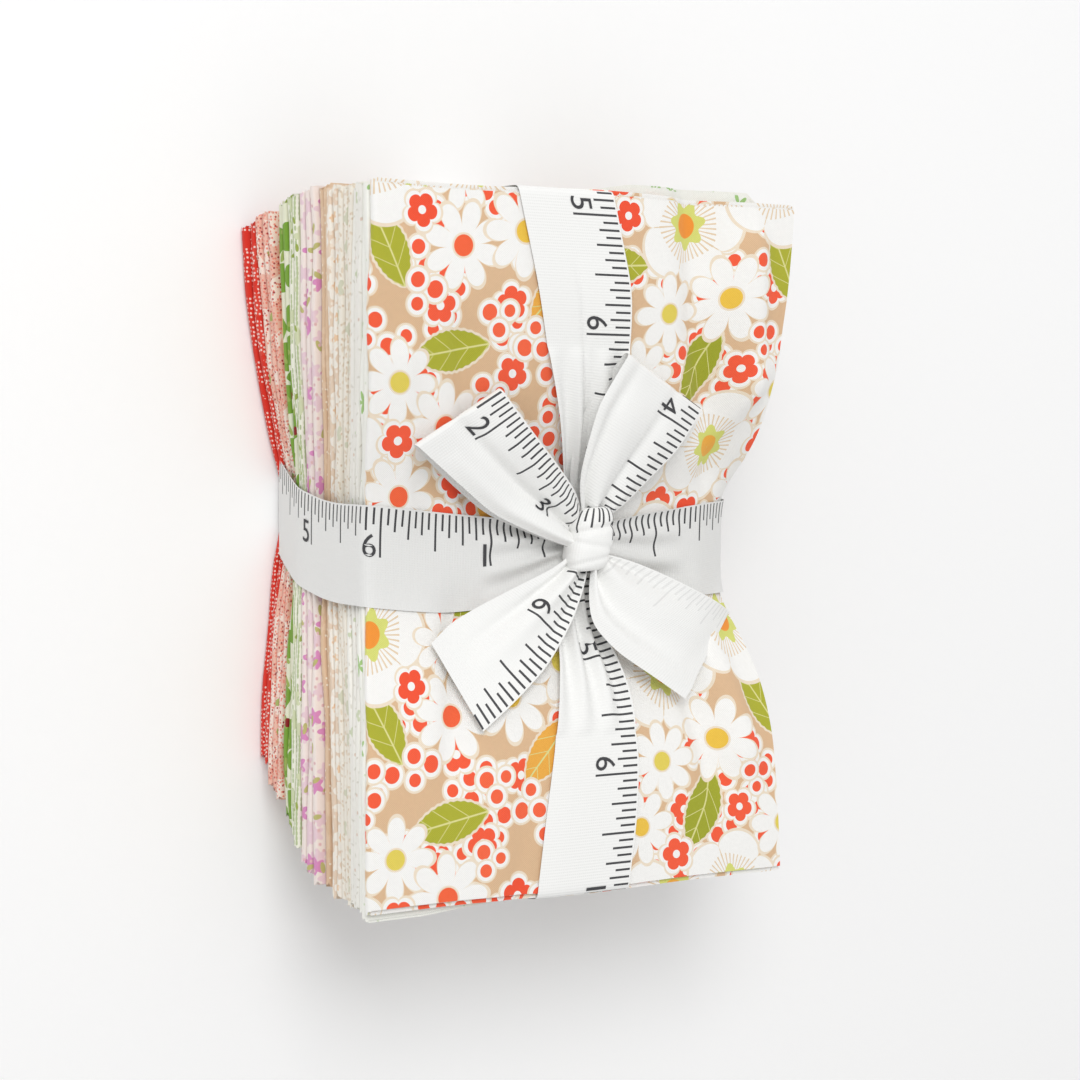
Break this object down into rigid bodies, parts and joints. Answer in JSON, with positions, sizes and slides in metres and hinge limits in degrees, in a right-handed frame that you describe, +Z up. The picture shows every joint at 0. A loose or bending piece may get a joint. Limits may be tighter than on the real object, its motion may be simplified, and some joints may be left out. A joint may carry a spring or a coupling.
{
  "type": "fat eighth bundle",
  "caption": "Folded fat eighths of printed quilting cotton in one stack, tied both ways with a measuring-tape ribbon and its bow.",
  "frame": {"origin": "on the surface that the bundle lies on, under the middle of its bounding box", "axes": "+Y along the bundle's length, from its foot to its head; +Z up through the stack, from its back to the face that holds the bow; +X across its width, from the folded sides to the open sides"},
  "size_m": [0.1072, 0.1518, 0.0646],
  "materials": {
    "cotton_red_pin_dot": "matte",
    "cotton_red_sprig": "matte",
    "cotton_coral_fleck": "matte",
    "cotton_peach": "matte",
    "cotton_green_leaf": "matte",
    "cotton_mint_dash": "matte",
    "cotton_lavender_floral": "matte",
    "cotton_tan_pin_dot": "matte",
    "cotton_cream_blossom": "matte",
    "cotton_tan_dash": "matte",
    "cotton_pale_sprig": "matte",
    "cotton_mint_sprig": "matte",
    "cotton_blossom_floral": "matte",
    "ribbon_white_printed": "matte"
  },
  "bodies": {
    "root": {"fat_eighth_01": "cotton_red_pin_dot", "fat_eighth_02": "cotton_red_sprig", "fat_eighth_03": "cotton_coral_fleck", "fat_eighth_04": "cotton_coral_fleck", "fat_eighth_05": "cotton_coral_fleck", "fat_eighth_06": "cotton_peach", "fat_eighth_07": "cotton_green_leaf", "fat_eighth_08": "cotton_green_leaf", "fat_eighth_09": "cotton_mint_dash", "fat_eighth_10": "cotton_mint_dash", "fat_eighth_11": "cotton_lavender_floral", "fat_eighth_12": "cotton_lavender_floral", "fat_eighth_13": "cotton_lavender_floral", "fat_eighth_14": "cotton_tan_pin_dot", "fat_eighth_15": "cotton_tan_pin_dot", "fat_eighth_16": "cotton_cream_blossom", "fat_eighth_17": "cotton_cream_blossom", "fat_eighth_18": "cotton_tan_dash", "fat_eighth_19": "cotton_tan_dash", "fat_eighth_20": "cotton_tan_dash", "fat_eighth_21": "cotton_pale_sprig", "fat_eighth_22": "cotton_pale_sprig", "fat_eighth_23": "cotton_pale_sprig", "fat_eighth_24": "cotton_mint_sprig", "fat_eighth_25": "cotton_mint_sprig", "fat_eighth_26": "cotton_blossom_floral", "ribbon": "ribbon_white_printed"}
  },
  "joints": []
}
